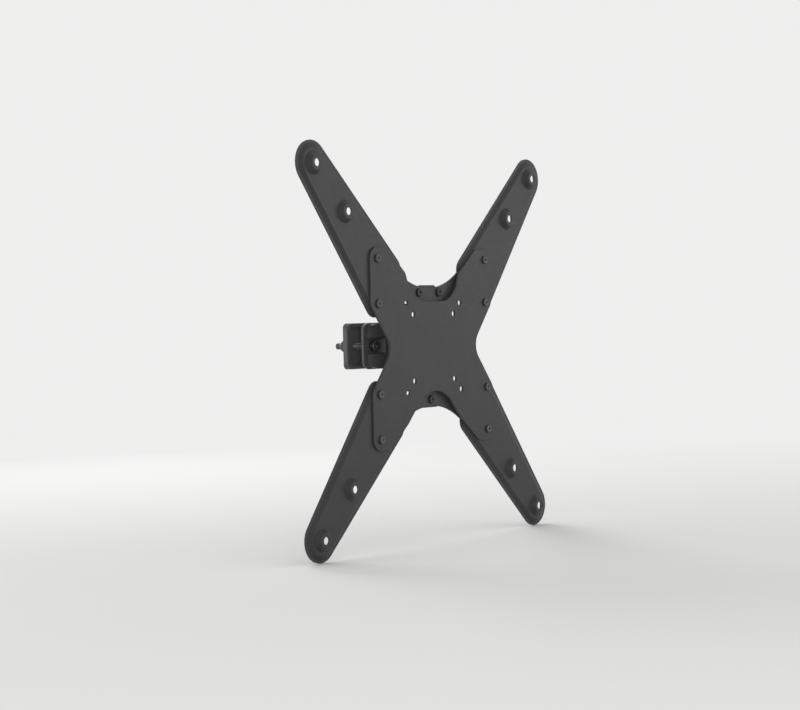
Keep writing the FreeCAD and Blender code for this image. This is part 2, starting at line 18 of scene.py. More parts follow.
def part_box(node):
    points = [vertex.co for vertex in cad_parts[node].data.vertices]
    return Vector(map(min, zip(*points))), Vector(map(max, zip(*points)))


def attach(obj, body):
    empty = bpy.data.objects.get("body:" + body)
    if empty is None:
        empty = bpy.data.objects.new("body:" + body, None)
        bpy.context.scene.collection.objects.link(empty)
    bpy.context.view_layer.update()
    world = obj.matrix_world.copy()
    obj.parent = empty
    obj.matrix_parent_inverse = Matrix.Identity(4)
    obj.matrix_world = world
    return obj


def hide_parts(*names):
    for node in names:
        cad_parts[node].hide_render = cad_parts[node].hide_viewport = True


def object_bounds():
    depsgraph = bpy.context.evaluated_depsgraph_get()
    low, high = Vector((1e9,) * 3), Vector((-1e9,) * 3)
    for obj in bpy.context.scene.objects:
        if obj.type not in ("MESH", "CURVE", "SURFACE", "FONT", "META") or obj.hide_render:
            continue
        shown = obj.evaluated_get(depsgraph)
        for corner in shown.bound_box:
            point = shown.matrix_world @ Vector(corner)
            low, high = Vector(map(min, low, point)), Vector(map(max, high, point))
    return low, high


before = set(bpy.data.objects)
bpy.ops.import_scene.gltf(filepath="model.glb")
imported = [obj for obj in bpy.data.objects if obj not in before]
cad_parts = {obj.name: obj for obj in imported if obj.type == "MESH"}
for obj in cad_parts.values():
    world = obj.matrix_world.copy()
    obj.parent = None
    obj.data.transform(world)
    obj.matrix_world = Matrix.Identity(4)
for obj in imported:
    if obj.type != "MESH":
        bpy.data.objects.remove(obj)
solid_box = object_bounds()

log = logging.getLogger("truss_mount")
BACK = Vector((0.0, 1.0, 0.0))
QUARTERS = ("top_left", "top_right", "bottom_left", "bottom_right")
CARRIER_PLACES = ("top_left", "top_right", "bottom")
SIDES = ("left", "right")
EDGE_SAMPLES = 4
CUT_TOLERANCE = 1e-7
Colour = tuple[float, float, float]


class Body(Enum):
    """The two bodies that the pieces ride on."""

    HEAD = "mount_head"
    JAW = "sliding_jaw"


class Slot(Enum):
    """The record's material slots."""

    PLATE = "plate_coat"
    ARM = "arm_coat"
    BRACKET = "bracket_coat"
    JAW = "jaw_coat"
    GREY = "grey_screw"
    BLACK = "black_screw"
    ZINC = "zinc_hardware"
    RUBBER = "grip_rubber"


class NodeBench:
    """Adds and wires shader nodes in one tree."""

    def __init__(self, tree: bpy.types.NodeTree) -> None:
        """Keep the tree and empty it.

        Args:
            tree: The node tree to build in.
        """
        self.tree = tree
        tree.nodes.clear()

    def add(self, kind: str, values: dict | None = None, **settings: object) -> bpy.types.Node:
        """Add one node.

        Args:
            kind: The node's type name.
            values: Input sockets and the constants that they get.
            settings: Attributes of the node, such as its operation.

        Returns:
            The new node.
        """
        node = self.tree.nodes.new(kind)
        for name, setting in settings.items():
            setattr(node, name, setting)
        for name, value in (values or {}).items():
            node.inputs[name].default_value = value
        return node

    def wire(self, source: bpy.types.NodeSocket, target: bpy.types.NodeSocket) -> None:
        """Link an output socket to an input socket."""
        self.tree.links.new(source, target)

    def span(self, source: bpy.types.NodeSocket, low: float, high: float, start: float,
             end: float) -> bpy.types.NodeSocket:
        """Map a range of a value to another range, clamped.

        Args:
            source: The value's socket.
            low: Start of the range that is read.
            high: End of the range that is read.
            start: What the range's start becomes.
            end: What the range's end becomes.

        Returns:
            The mapped value's socket.
        """
        values = {"From Min": low, "From Max": high, "To Min": start, "To Max": end}
        node = self.add("ShaderNodeMapRange", values, clamp=True)
        self.wire(source, node.inputs["Value"])
        return node.outputs["Result"]

    def combine(self, operation: str, first: bpy.types.NodeSocket,
                second: bpy.types.NodeSocket | float) -> bpy.types.NodeSocket:
        """Join two values by an arithmetic operation.

        Args:
            operation: The Math node's operation.
            first: The first value's socket.
            second: The second value's socket, or a constant.

        Returns:
            The result's socket.
        """
        node = self.add("ShaderNodeMath", operation=operation)
        self.wire(first, node.inputs[0])
        if isinstance(second, float):
            node.inputs[1].default_value = second
        else:
            self.wire(second, node.inputs[1])
        return node.outputs[0]

    def tint(self, share: bpy.types.NodeSocket, below: Colour | bpy.types.NodeSocket,
             above: Colour) -> bpy.types.NodeSocket:
        """Mix a colour over another by a value.

        Args:
            share: How much of the upper colour shows.
            below: The lower colour, plain or from a socket.
            above: The upper colour.

        Returns:
            The mixed colour's socket.
        """
        node = self.add("ShaderNodeMix", data_type="RGBA")
        lower, upper = [socket for socket in node.inputs if socket.type == "RGBA"]
        if isinstance(below, tuple):
            lower.default_value = (*below, 1.0)
        else:
            self.wire(below, lower)
        upper.default_value = (*above, 1.0)
        self.wire(share, node.inputs[0])
        return next(socket for socket in node.outputs if socket.type == "RGBA")

    def noise(self, scale: float | bpy.types.NodeSocket, detail: float,
              place: bpy.types.NodeSocket) -> bpy.types.NodeSocket:
        """Add a noise pattern.

        Args:
            scale: Patches to the metre, plain or from a socket.
            detail: How many finer layers are added.
            place: The coordinates that it reads.

        Returns:
            The pattern's value socket.
        """
        node = self.add("ShaderNodeTexNoise", {"Detail": detail})
        if isinstance(scale, float):
            node.inputs["Scale"].default_value = scale
        else:
            self.wire(scale, node.inputs["Scale"])
        self.wire(place, node.inputs["Vector"])
        return node.outputs[0]


class SurfaceEffects:
    """Shared surface effects, each a shader node group that is built once.

    A span is the part of a noise pattern that is read, a scale sets a pattern's fineness against the
    group's own, and a share is how much of the height a layer takes.
    """

    pebble_span: tuple[float, float] = (0.32, 0.68)
    pebble_share: float = 0.6
    orange_scale: float = 0.28
    orange_span: tuple[float, float] = (0.3, 0.7)
    orange_share: float = 0.4
    fleck_scale: float = 1.7
    fleck_span: tuple[float, float] = (0.66, 0.76)
    tone_span: tuple[float, float] = (0.3, 0.7)
    marks_scale: float = 7.0
    marks_span: tuple[float, float] = (0.52, 0.74)
    edge_turn: tuple[float, float] = (0.995, 0.8)
    breaks_span: tuple[float, float] = (0.4, 0.62)
    lay_stretch: tuple[float, float, float] = (0.12, 1.0, 0.12)

    def __init__(self) -> None:
        """Build every group."""
        self.grain = self.build_grain()
        self.clouds = self.build_clouds()
        self.rub_and_highlight = self.build_rub_and_highlight()
        self.lay = self.build_lay()

    @staticmethod
    def open_group(name: str, takes: dict[str, float],
                   gives: tuple[str, ...]) -> tuple[bpy.types.NodeTree, NodeBench]:
        """Start a group with its named sockets.

        Args:
            name: The group's name.
            takes: Input values and their defaults.
            gives: Output values.

        Returns:
            The group and a bench to build in it.
        """
        group = bpy.data.node_groups.new(name, "ShaderNodeTree")
        for socket_name, default in takes.items():
            socket = group.interface.new_socket(socket_name, in_out="INPUT", socket_type="NodeSocketFloat")
            socket.default_value = default
        for socket_name in gives:
            group.interface.new_socket(socket_name, in_out="OUTPUT", socket_type="NodeSocketFloat")
        return group, NodeBench(group)

    def build_grain(self) -> bpy.types.NodeTree:
        """Fine pebbling of a sprayed or cast skin, with a few bright flecks.

        Returns:
            The group, with a height and a mask of flecks.
        """
        group, bench = self.open_group("skin_grain", {"Grains": 1500.0}, ("Height", "Fleck"))
        takes = bench.add("NodeGroupInput")
        gives = bench.add("NodeGroupOutput")
        place = bench.add("ShaderNodeTexCoord").outputs["Object"]
        grains = takes.outputs["Grains"]
        pebble = bench.noise(grains, 2.0, place)
        orange = bench.noise(bench.combine("MULTIPLY", grains, self.orange_scale), 1.0, place)
        height = bench.combine("ADD", bench.span(pebble, *self.pebble_span, 0.0, self.pebble_share),
                               bench.span(orange, *self.orange_span, 0.0, self.orange_share))
        fleck = bench.noise(bench.combine("MULTIPLY", grains, self.fleck_scale), 0.0, place)
        bench.wire(height, gives.inputs["Height"])
        bench.wire(bench.span(fleck, *self.fleck_span, 0.0, 1.0), gives.inputs["Fleck"])
        return group

    def build_clouds(self) -> bpy.types.NodeTree:
        """Slow change of tone over a surface, and finer handling marks.

        Returns:
            The group, with a tone and a mask of marks.
        """
        group, bench = self.open_group("tone_clouds", {"Patches": 22.0}, ("Tone", "Marks"))
        takes = bench.add("NodeGroupInput")
        gives = bench.add("NodeGroupOutput")
        place = bench.add("ShaderNodeTexCoord").outputs["Object"]
        patches = takes.outputs["Patches"]
        tone = bench.noise(patches, 3.0, place)
        marks = bench.noise(bench.combine("MULTIPLY", patches, self.marks_scale), 5.0, place)
        bench.wire(bench.span(tone, *self.tone_span, 0.0, 1.0), gives.inputs["Tone"])
        bench.wire(bench.span(marks, *self.marks_span, 0.0, 1.0), gives.inputs["Marks"])
        return group

    def build_rub_and_highlight(self) -> bpy.types.NodeTree:
        """Mask of edges, broken up by noise: partly wear from handling and partly a painted highlight
        along them.

        Returns:
            The group, with the mask.
        """
        group, bench = self.open_group("edge_rub_and_highlight", {"Reach": 0.0008, "Breaks": 160.0}, ("Mask",))
        takes = bench.add("NodeGroupInput")
        gives = bench.add("NodeGroupOutput")
        place = bench.add("ShaderNodeTexCoord").outputs["Object"]
        eased = bench.add("ShaderNodeBevel", samples=EDGE_SAMPLES)
        bench.wire(takes.outputs["Reach"], eased.inputs["Radius"])
        facing = bench.add("ShaderNodeNewGeometry").outputs["Normal"]
        turn = bench.add("ShaderNodeVectorMath", operation="DOT_PRODUCT")
        bench.wire(eased.outputs["Normal"], turn.inputs[0])
        bench.wire(facing, turn.inputs[1])
        edge = bench.span(turn.outputs["Value"], *self.edge_turn, 0.0, 1.0)
        pattern = bench.noise(takes.outputs["Breaks"], 4.0, place)
        breaks = bench.span(pattern, *self.breaks_span, 0.0, 1.0)
        bench.wire(bench.combine("MULTIPLY", edge, breaks), gives.inputs["Mask"])
        return group

    def build_lay(self) -> bpy.types.NodeTree:
        """Fine lines that turning and rolling leave round a screw or nut.

        Returns:
            The group, with a height.
        """
        group, bench = self.open_group("tool_lay", {"Lines": 2600.0}, ("Height",))
        takes = bench.add("NodeGroupInput")
        gives = bench.add("NodeGroupOutput")
        place = bench.add("ShaderNodeTexCoord").outputs["Object"]
        stretch = bench.add("ShaderNodeMapping", {"Scale": self.lay_stretch})
        bench.wire(place, stretch.inputs["Vector"])
        lines = bench.noise(takes.outputs["Lines"], 2.0, stretch.outputs["Vector"])
        bench.wire(lines, gives.inputs["Height"])
        return group

    def place(self, bench: NodeBench, group: bpy.types.NodeTree, **values: float) -> bpy.types.Node:
        """Put a group into a material with its own values.

        Args:
            bench: The material's bench.
            group: The effect.
            values: Input values by socket name.

        Returns:
            The group's node.
        """
        node = bench.add("ShaderNodeGroup", node_tree=group)
        for name, value in values.items():
            node.inputs[name].default_value = value
        return node


@dataclass(frozen=True)
class Finish:
    """One finish of the mount: its colours, gloss, grain, and edge wear that is partly a painted
    highlight.

    Attributes:
        name: The material's name.
        base: Its main colour.
        varied: Its colour in the other patches of tone.
        rubbed_and_highlight: Its colour on worn edges, where it is partly wear and partly a painted
            highlight.
        metal: 1 for bare metal, 0 for a coat or a moulding.
        gloss_low: Its roughness where it is smoothest.
        gloss_high: Its roughness where it is dullest.
        grains: Grains to the metre.
        grain_depth: How deep the grain looks, in metres.
        edge: How far its edges are eased, in metres.
        specular: The level of its clear reflection.
        rub_and_highlight: How much of its edges is worn and given a painted highlight.
        turned: True where fine lines run round it instead of a grain.
        patches: Patches of tone to the metre.
        fleck: How much of the worn colour shows in its flecks.
        rub_and_highlight_reach: How far the wear and painted highlight reach, against how far its edges
            are eased.
    """

    name: str
    base: Colour
    varied: Colour
    rubbed_and_highlight: Colour
    metal: float
    gloss_low: float
    gloss_high: float
    grains: float
    grain_depth: float
    edge: float = 0.0004
    specular: float = 0.4
    rub_and_highlight: float = 0.35
    turned: bool = False
    patches: float = 24.0
    fleck: float = 0.3
    rub_and_highlight_reach: float = 2.0

    def make(self, effects: SurfaceEffects) -> bpy.types.Material:
        """Build the finish's material.

        Args:
            effects: The shared effects.

        Returns:
            The material.
        """
        material = bpy.data.materials.new(self.name)
        material.use_nodes = True
        bench = NodeBench(material.node_tree)
        shader = bench.add("ShaderNodeBsdfPrincipled", {"Metallic": self.metal,
                                                        "Specular IOR Level": self.specular})
        output = bench.add("ShaderNodeOutputMaterial")
        bench.wire(shader.outputs[0], output.inputs["Surface"])
        clouds = effects.place(bench, effects.clouds, Patches=self.patches)
        grain = effects.place(bench, effects.grain, Grains=self.grains)
        # The edge mask lays the rubbed colour along edges: partly wear, partly a painted highlight.
        rub_and_highlight = effects.place(bench, effects.rub_and_highlight, Reach=self.rub_and_highlight_reach * self.edge)
        worn_and_highlight = bench.combine("MULTIPLY", rub_and_highlight.outputs["Mask"], self.rub_and_highlight)
        tone = bench.tint(clouds.outputs["Tone"], self.base, self.varied)
        fleck = bench.combine("MULTIPLY", grain.outputs["Fleck"], self.fleck)
        flecked = bench.tint(fleck, tone, self.rubbed_and_highlight)
        bench.wire(bench.tint(worn_and_highlight, flecked, self.rubbed_and_highlight), shader.inputs["Base Color"])
        gloss = bench.span(clouds.outputs["Marks"], 0.0, 1.0, self.gloss_high, self.gloss_low)
        bench.wire(gloss, shader.inputs["Roughness"])
        eased = bench.add("ShaderNodeBevel", {"Radius": self.edge}, samples=EDGE_SAMPLES)
        relief = bench.add("ShaderNodeBump", {"Strength": 1.0, "Distance": self.grain_depth})
        height = grain.outputs["Height"]
        if self.turned:
            height = effects.place(bench, effects.lay, Lines=self.grains).outputs["Height"]
        bench.wire(height, relief.inputs["Height"])
        bench.wire(eased.outputs["Normal"], relief.inputs["Normal"])
        bench.wire(relief.outputs["Normal"], shader.inputs["Normal"])
        return material


class FinishRack:
    """Every finish on the mount, made once each."""

    def __init__(self, effects: SurfaceEffects) -> None:
        """Make the materials.

        Args:
            effects: The shared effects.
        """
        head_coat = Finish(
            "charcoal_powder_coat", base=(0.042, 0.042, 0.0443), varied=(0.047, 0.047, 0.0496),
            rubbed_and_highlight=(0.10, 0.10, 0.105), metal=0.0, gloss_low=0.36, gloss_high=0.44, grains=1300.0,
            grain_depth=0.00006, specular=0.15)
        bracket_coat = Finish(
            "black_powder_coat", base=(0.044, 0.044, 0.0464), varied=(0.049, 0.049, 0.0517),
            rubbed_and_highlight=(0.10, 0.10, 0.105), metal=0.0, gloss_low=0.36, gloss_high=0.46, grains=1300.0,
            grain_depth=0.00006, specular=0.15)
        # The jaws' coat is painted about twice as light as the head's: painted light that stands in for
        # the light the jaws miss in the shade behind the head.
        cast_coat_painted_lighter = Finish(
            "dark_cast_coat_painted_lighter", base=(0.084, 0.084, 0.0882), varied=(0.091, 0.091, 0.0953),
            rubbed_and_highlight=(0.15, 0.15, 0.154), metal=0.0, gloss_low=0.27, gloss_high=0.34, grains=900.0,
            grain_depth=0.00003, edge=0.0008, specular=0.35)
        grey = Finish(
            "dull_zinc_screw", base=(0.075, 0.075, 0.0775), varied=(0.065, 0.065, 0.0672),
            rubbed_and_highlight=(0.18, 0.18, 0.18), metal=0.8, gloss_low=0.34, gloss_high=0.46, grains=2600.0,
            grain_depth=0.000008, edge=0.0003, specular=0.5, rub_and_highlight=0.5, turned=True)
        zinc = Finish(
            "dark_zinc_hardware", base=(0.11, 0.11, 0.113), varied=(0.09, 0.09, 0.093),
            rubbed_and_highlight=(0.26, 0.26, 0.26), metal=0.8, gloss_low=0.28, gloss_high=0.40, grains=2600.0,
            grain_depth=0.000010, edge=0.0003, specular=0.5, rub_and_highlight=0.5, turned=True)
        black = Finish(
            "black_oxide_screw", base=(0.026, 0.026, 0.027), varied=(0.030, 0.030, 0.031),
            rubbed_and_highlight=(0.08, 0.08, 0.08), metal=0.3, gloss_low=0.36, gloss_high=0.46, grains=2600.0,
            grain_depth=0.000008, edge=0.0003, specular=0.25, rub_and_highlight=0.4, turned=True)
        rubber = Finish(
            "grip_rubber", base=(0.014, 0.014, 0.014), varied=(0.021, 0.021, 0.021),
            rubbed_and_highlight=(0.05, 0.05, 0.05), metal=0.0, gloss_low=0.66, gloss_high=0.8, grains=2200.0,
            grain_depth=0.00002, edge=0.0003, specular=0.3, rub_and_highlight=0.3)
        nylon = Finish(
            "nylon_insert", base=(0.62, 0.63, 0.60), varied=(0.55, 0.56, 0.53),
            rubbed_and_highlight=(0.70, 0.70, 0.68), metal=0.0, gloss_low=0.35, gloss_high=0.45, grains=1200.0,
            grain_depth=0.00001, edge=0.0002, specular=0.5, rub_and_highlight=0.1)
        self.nylon = nylon.make(effects)
        coat = head_coat.make(effects)
        self.by_slot = {
            Slot.PLATE: coat,
            Slot.ARM: coat,
            Slot.BRACKET: bracket_coat.make(effects),
            Slot.JAW: cast_coat_painted_lighter.make(effects),
            Slot.GREY: grey.make(effects),
            Slot.BLACK: black.make(effects),
            Slot.ZINC: zinc.make(effects),
            Slot.RUBBER: rubber.make(effects),
        }


@dataclass(frozen=True)
class Thread:
    """A rolled thread on a bar that runs along the depth axis, in metres.

    Attributes:
        radius: Radius of the crests.
        pitch: From one crest to the next.
        start: Depth at which the thread starts.
        end: Depth of the bar's free end.
        point: Height of the bevel at the free end.
        steps: Steps to a turn.
        depth: Depth of the groove, against the pitch, as are the next three.
        rise: Where the flank starts to rise from the groove.
        crest_start: Where the crest starts.
        crest_end: Where the crest ends.
        weld: Corners nearer than this become one, against the pitch.
        clearance: How far round its axis a bar is looked for, against the radius.
    """

    radius: float
    pitch: float
    start: float
    end: float
    point: float
    steps: int = 28
    depth: float = 0.5
    rise: float = 0.12
    crest_start: float = 0.5
    crest_end: float = 0.62
    weld: float = 0.02
    clearance: float = 4.0

    def cut(self, mesh: bmesh.types.BMesh, x: float, z: float) -> None:
        """Swap a plain bar's end for a threaded one.

        Args:
            mesh: The screw's mesh, whose bar runs past the start.
            x: Place of the bar's axis.
            z: Height of the bar's axis.
        """
        self.shorten(mesh, x, z)
        axis = Vector((x, 0.0, z))
        bar = bmesh.new()
        root = self.radius - self.depth * self.pitch
        low = self.start - self.pitch
        heights = ((root, 0.0), (root, self.rise), (self.radius, self.crest_start),
                   (self.radius, self.crest_end), (root, 1.0))
        points = []
        for reach, share in heights:
            points.append(bar.verts.new((x + reach, low + share * self.pitch, z)))
        edges = []
        for first, second in zip(points, points[1:]):
            edges.append(bar.edges.new((first, second)))
        turns = math.ceil((self.end - low) / self.pitch) + 1
        climb = BACK * (self.pitch / self.steps)
        bmesh.ops.spin(bar, geom=points + edges, cent=axis, axis=BACK, dvec=climb,
                       angle=2.0 * math.pi * turns, steps=turns * self.steps)
        bmesh.ops.remove_doubles(bar, verts=bar.verts, dist=self.weld * self.pitch)
        self.trim(bar, self.end, BACK)
        self.trim(bar, self.start, -BACK)
        for vert in bar.verts:
            offset = vert.co - axis
            offset.y = 0.0
            allowed = self.radius - self.point + max(self.end - vert.co.y, 0.0)
            if offset.length > allowed:
                vert.co = axis + BACK * vert.co.y + offset * (allowed / offset.length)
        bmesh.ops.recalc_face_normals(bar, faces=bar.faces)
        finished = bpy.data.meshes.new("thread")
        bar.to_mesh(finished)
        bar.free()
        mesh.from_mesh(finished)
        bpy.data.meshes.remove(finished)

    def shorten(self, mesh: bmesh.types.BMesh, x: float, z: float) -> None:
        """Cut one bar off where its thread starts, and close it.

        Args:
            mesh: The screws' mesh.
            x: Place of the bar's axis.
            z: Height of the bar's axis.
        """
        reach = self.clearance * self.radius
        near = [v for v in mesh.verts if abs(v.co.x - x) < reach and abs(v.co.z - z) < reach]
        chosen = set(near)
        edges = [e for e in mesh.edges if e.verts[0] in chosen and e.verts[1] in chosen]
        faces = [f for f in mesh.faces if all(v in chosen for v in f.verts)]
        result = bmesh.ops.bisect_plane(mesh, geom=near + edges + faces, dist=CUT_TOLERANCE,
                                        plane_co=(x, self.start, z), plane_no=BACK, clear_outer=True)
        rim = [item for item in result["geom_cut"] if isinstance(item, bmesh.types.BMEdge)]
        bmesh.ops.holes_fill(mesh, edges=rim, sides=0)

    @staticmethod
    def trim(bar: bmesh.types.BMesh, depth: float, away: Vector) -> None:
        """Cut a bar square and close its end.

        Args:
            bar: The bar's mesh.
            depth: Where the cut is.
            away: The side that is taken off.
        """
        geometry = list(bar.verts) + list(bar.edges) + list(bar.faces)
        result = bmesh.ops.bisect_plane(bar, geom=geometry, dist=CUT_TOLERANCE,
                                        plane_co=BACK * depth, plane_no=away, clear_outer=True)
        rim = [item for item in result["geom_cut"] if isinstance(item, bmesh.types.BMEdge)]
        bmesh.ops.holes_fill(bar, edges=rim, sides=0)


@dataclass(frozen=True)
class Skin:
    """Turns a solid's loose facets into one smooth skin.

    Attributes:
        merge: Corners nearer than this become one, in metres.
        crease: Edges sharper than this stay crisp, in degrees.
    """

    merge: float = 0.000002
    crease: float = 28.0

    def lift(self, node: str) -> bmesh.types.BMesh:
        """Copy a solid's mesh with its corners joined.

        Args:
            node: The solid's name.

        Returns:
            The joined mesh.
        """
        mesh = bmesh.new()
        mesh.from_mesh(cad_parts[node].data)
        bmesh.ops.remove_doubles(mesh, verts=mesh.verts, dist=self.merge)
        bmesh.ops.dissolve_degenerate(mesh, edges=mesh.edges, dist=self.merge)
        return mesh

    def lay(self, mesh: bmesh.types.BMesh, name: str, material: bpy.types.Material) -> bpy.types.Object:
        """Make an object of a finished mesh, smooth but for its creases.

        Args:
            mesh: The mesh, which is freed.
            name: The piece's name.
            material: Its finish.

        Returns:
            The piece.
        """
        data = bpy.data.meshes.new(name)
        mesh.to_mesh(data)
        mesh.free()
        data.polygons.foreach_set("use_smooth", [True] * len(data.polygons))
        data.set_sharp_from_angle(angle=math.radians(self.crease))
        data.materials.append(material)
        piece = bpy.data.objects.new(name, data)
        bpy.context.scene.collection.objects.link(piece)
        return piece

    @staticmethod
    def even(piece: bpy.types.Object) -> None:
        """Weigh a piece's shading by the size of its faces."""
        evened = piece.modifiers.new("evened", "WEIGHTED_NORMAL")
        evened.keep_sharp = True

    def shade_like(self, piece: bpy.types.Object, node: str) -> None:
        """Give an uncut piece the exact shading of its solid.

        Args:
            piece: The piece, with the solid's own faces.
            node: The solid's name.
        """
        corners = [corner.vector.copy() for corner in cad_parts[node].data.corner_normals]
        if len(corners) == len(piece.data.loops):
            piece.data.normals_split_custom_set(corners)
        else:
            log.info("%s lost a sliver, so its shading is evened", piece.name)
            self.even(piece)


class Workshop:
    """Makes finished pieces from solids and hands them to their bodies."""

    def __init__(self) -> None:
        """Set out the finishes and the skin."""
        self.rack = FinishRack(SurfaceEffects())
        self.skin = Skin()

    def place(self, piece: bpy.types.Object, body: Body, slot: Slot, *nodes: str) -> bpy.types.Object:
        """Let a piece ride on its body, and hide the solids that it is made from.

        Args:
            piece: The piece.
            body: The body that it moves with.
            slot: Not used.
            nodes: The solids that it is made from, which are hidden, if any.

        Returns:
            The piece.
        """
        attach(piece, body.value)
        if nodes:
            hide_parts(*nodes)
        log.info("%s rides on %s", piece.name, body.value)
        return piece

    def dress(self, node: str, body: Body, slot: Slot) -> bpy.types.Object:
        """Give one solid its smooth skin and finish.

        Args:
            node: The solid's name.
            body: The body that it moves with.
            slot: The record's slot for its finish.

        Returns:
            The piece.
        """
        mesh = self.skin.lift(node)
        piece = self.skin.lay(mesh, node + "_skin", self.rack.by_slot[slot])
        self.skin.shade_like(piece, node)
        return self.place(piece, body, slot, node)

    def dress_threaded(self, node: str, body: Body, slot: Slot, thread: Thread,
                       axes: list[tuple[float, float]]) -> bpy.types.Object:
        """Give one solid of screws its skin, finish and cut threads.

        Args:
            node: The solid's name.
            body: The body that it moves with.
            slot: The record's slot for its finish.
            thread: The thread that its bars get.
            axes: Place and height of each bar's axis.

        Returns:
            The piece.
        """
        mesh = self.skin.lift(node)
        for x, z in axes:
            thread.cut(mesh, x, z)
        piece = self.skin.lay(mesh, node + "_cut", self.rack.by_slot[slot])
        self.skin.even(piece)
        return self.place(piece, body, slot, node)


@dataclass
class PressedHead:
    """The X head: centre plate, four arms and their screws and nuts, in metres."""

    screw_x: float = 0.100
    screw_low: float = 0.050
    screw_high: float = 0.100
    screw_radius: float = 0.00245
    screw_pitch: float = 0.0008
    screw_point: float = 0.0005
    thread_length: float = 0.0042

    def build(self, shop: Workshop) -> None:
        """Dress the plate, the arms and their fastenings.

        Args:
            shop: Where the pieces are made.
        """
        shop.dress("centre_plate", Body.HEAD, Slot.PLATE)
        for quarter in QUARTERS:
            shop.dress("arm_" + quarter, Body.HEAD, Slot.ARM)
            self.fasten(shop, quarter)

    def fasten(self, shop: Workshop, quarter: str) -> None:
        """Dress one arm's two screws and nuts.

        Args:
            shop: Where the pieces are made.
            quarter: The arm's name.
        """
        node = "arm_screws_" + quarter
        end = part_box(node)[1].y
        thread = Thread(self.screw_radius, self.screw_pitch, end - self.thread_length, end,
                        self.screw_point)
        side_x = 1.0 if quarter.endswith("right") else -1.0
        side_z = 1.0 if quarter.startswith("top") else -1.0
        axes = [(side_x * self.screw_x, side_z * self.screw_low),
                (side_x * self.screw_x, side_z * self.screw_high)]
        shop.dress_threaded(node, Body.HEAD, Slot.GREY, thread, axes)
        shop.dress("arm_nuts_" + quarter, Body.HEAD, Slot.ZINC)


@dataclass
class StandOff:
    """The carrier plate and stand-off bracket behind the head, in metres."""

    screw_radius: float = 0.00295
    screw_pitch: float = 0.001
    screw_point: float = 0.0006
    thread_length: float = 0.0058

    def build(self, shop: Workshop) -> None:
        """Dress the carrier plate, the bracket and their fastenings.

        Args:
            shop: Where the pieces are made.
        """
        shop.dress("carrier_plate", Body.HEAD, Slot.PLATE)
        shop.dress("standoff_bracket", Body.HEAD, Slot.BRACKET)
        for place in CARRIER_PLACES:
            node = "carrier_screw_" + place
            low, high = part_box(node)
            centre = (low + high) / 2.0
            thread = Thread(self.screw_radius, self.screw_pitch, high.y - self.thread_length, high.y,
                            self.screw_point)
            shop.dress_threaded(node, Body.HEAD, Slot.BLACK, thread, [(centre.x, centre.z)])
            shop.dress("carrier_nut_" + place, Body.HEAD, Slot.ZINC)


@dataclass
class TubeClamp:
    """Two cast jaws with rubber liners, drawn together by two bolts, in metres."""

    bolt_radius: float = 0.00365
    bolt_pitch: float = 0.00125
    bolt_point: float = 0.0009
    plain_shank: float = 0.016
    head_height: float = 0.007
    insert_inner: float = 0.00372
    insert_outer: float = 0.0041
    insert_depth: float = 0.0012
    insert_stand: float = 0.00012
    insert_steps: int = 48

    def build(self, shop: Workshop) -> None:
        """Dress the jaws, liners, bolts, washers and nuts.

        Args:
            shop: Where the pieces are made.
        """
        shop.dress("front_jaw", Body.HEAD, Slot.JAW)
        shop.dress("rear_jaw", Body.JAW, Slot.JAW)
        shop.dress("front_grip_pad", Body.HEAD, Slot.RUBBER)
        shop.dress("rear_grip_pad", Body.JAW, Slot.RUBBER)
        shop.dress("clamp_screws", Body.HEAD, Slot.BLACK)
        for side in SIDES:
            self.bolt(shop, side)
            shop.dress("clamp_washer_" + side, Body.JAW, Slot.ZINC)
            shop.dress("clamp_nut_" + side, Body.JAW, Slot.ZINC)
            self.insert(shop, side)

    def bolt(self, shop: Workshop, side: str) -> None:
        """Cut the thread of one clamp bolt.

        Args:
            shop: Where the pieces are made.
            side: The bolt's side.
        """
        node = "clamp_bolt_" + side
        low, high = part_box(node)
        centre = (low + high) / 2.0
        start = low.y + self.head_height + self.plain_shank
        thread = Thread(self.bolt_radius, self.bolt_pitch, start, high.y, self.bolt_point)
        shop.dress_threaded(node, Body.HEAD, Slot.ZINC, thread, [(centre.x, centre.z)])

    def insert(self, shop: Workshop, side: str) -> None:
        """Turn the nylon ring that shows at a lock nut's end.

        Args:
            shop: Where the pieces are made.
            side: The nut's side.
        """
        low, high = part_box("clamp_nut_" + side)
        centre = (low + high) / 2.0
        front = high.y - self.insert_depth
        back = high.y + self.insert_stand
        ring = bmesh.new()
        corners = []
        for reach, depth in ((self.insert_inner, front), (self.insert_inner, back),
                             (self.insert_outer, back), (self.insert_outer, front)):
            corners.append(ring.verts.new((centre.x + reach, depth, centre.z)))
        edges = []
        for index in range(len(corners)):
            edges.append(ring.edges.new((corners[index - 1], corners[index])))
        bmesh.ops.spin(ring, geom=corners + edges, cent=centre, axis=BACK, angle=2.0 * math.pi,
                       steps=self.insert_steps, use_merge=True)
        bmesh.ops.remove_doubles(ring, verts=ring.verts, dist=shop.skin.merge)
        bmesh.ops.recalc_face_normals(ring, faces=ring.faces)
        piece = shop.skin.lay(ring, "nut_insert_" + side, shop.rack.nylon)
        shop.skin.even(piece)
        shop.place(piece, Body.JAW, Slot.ZINC)


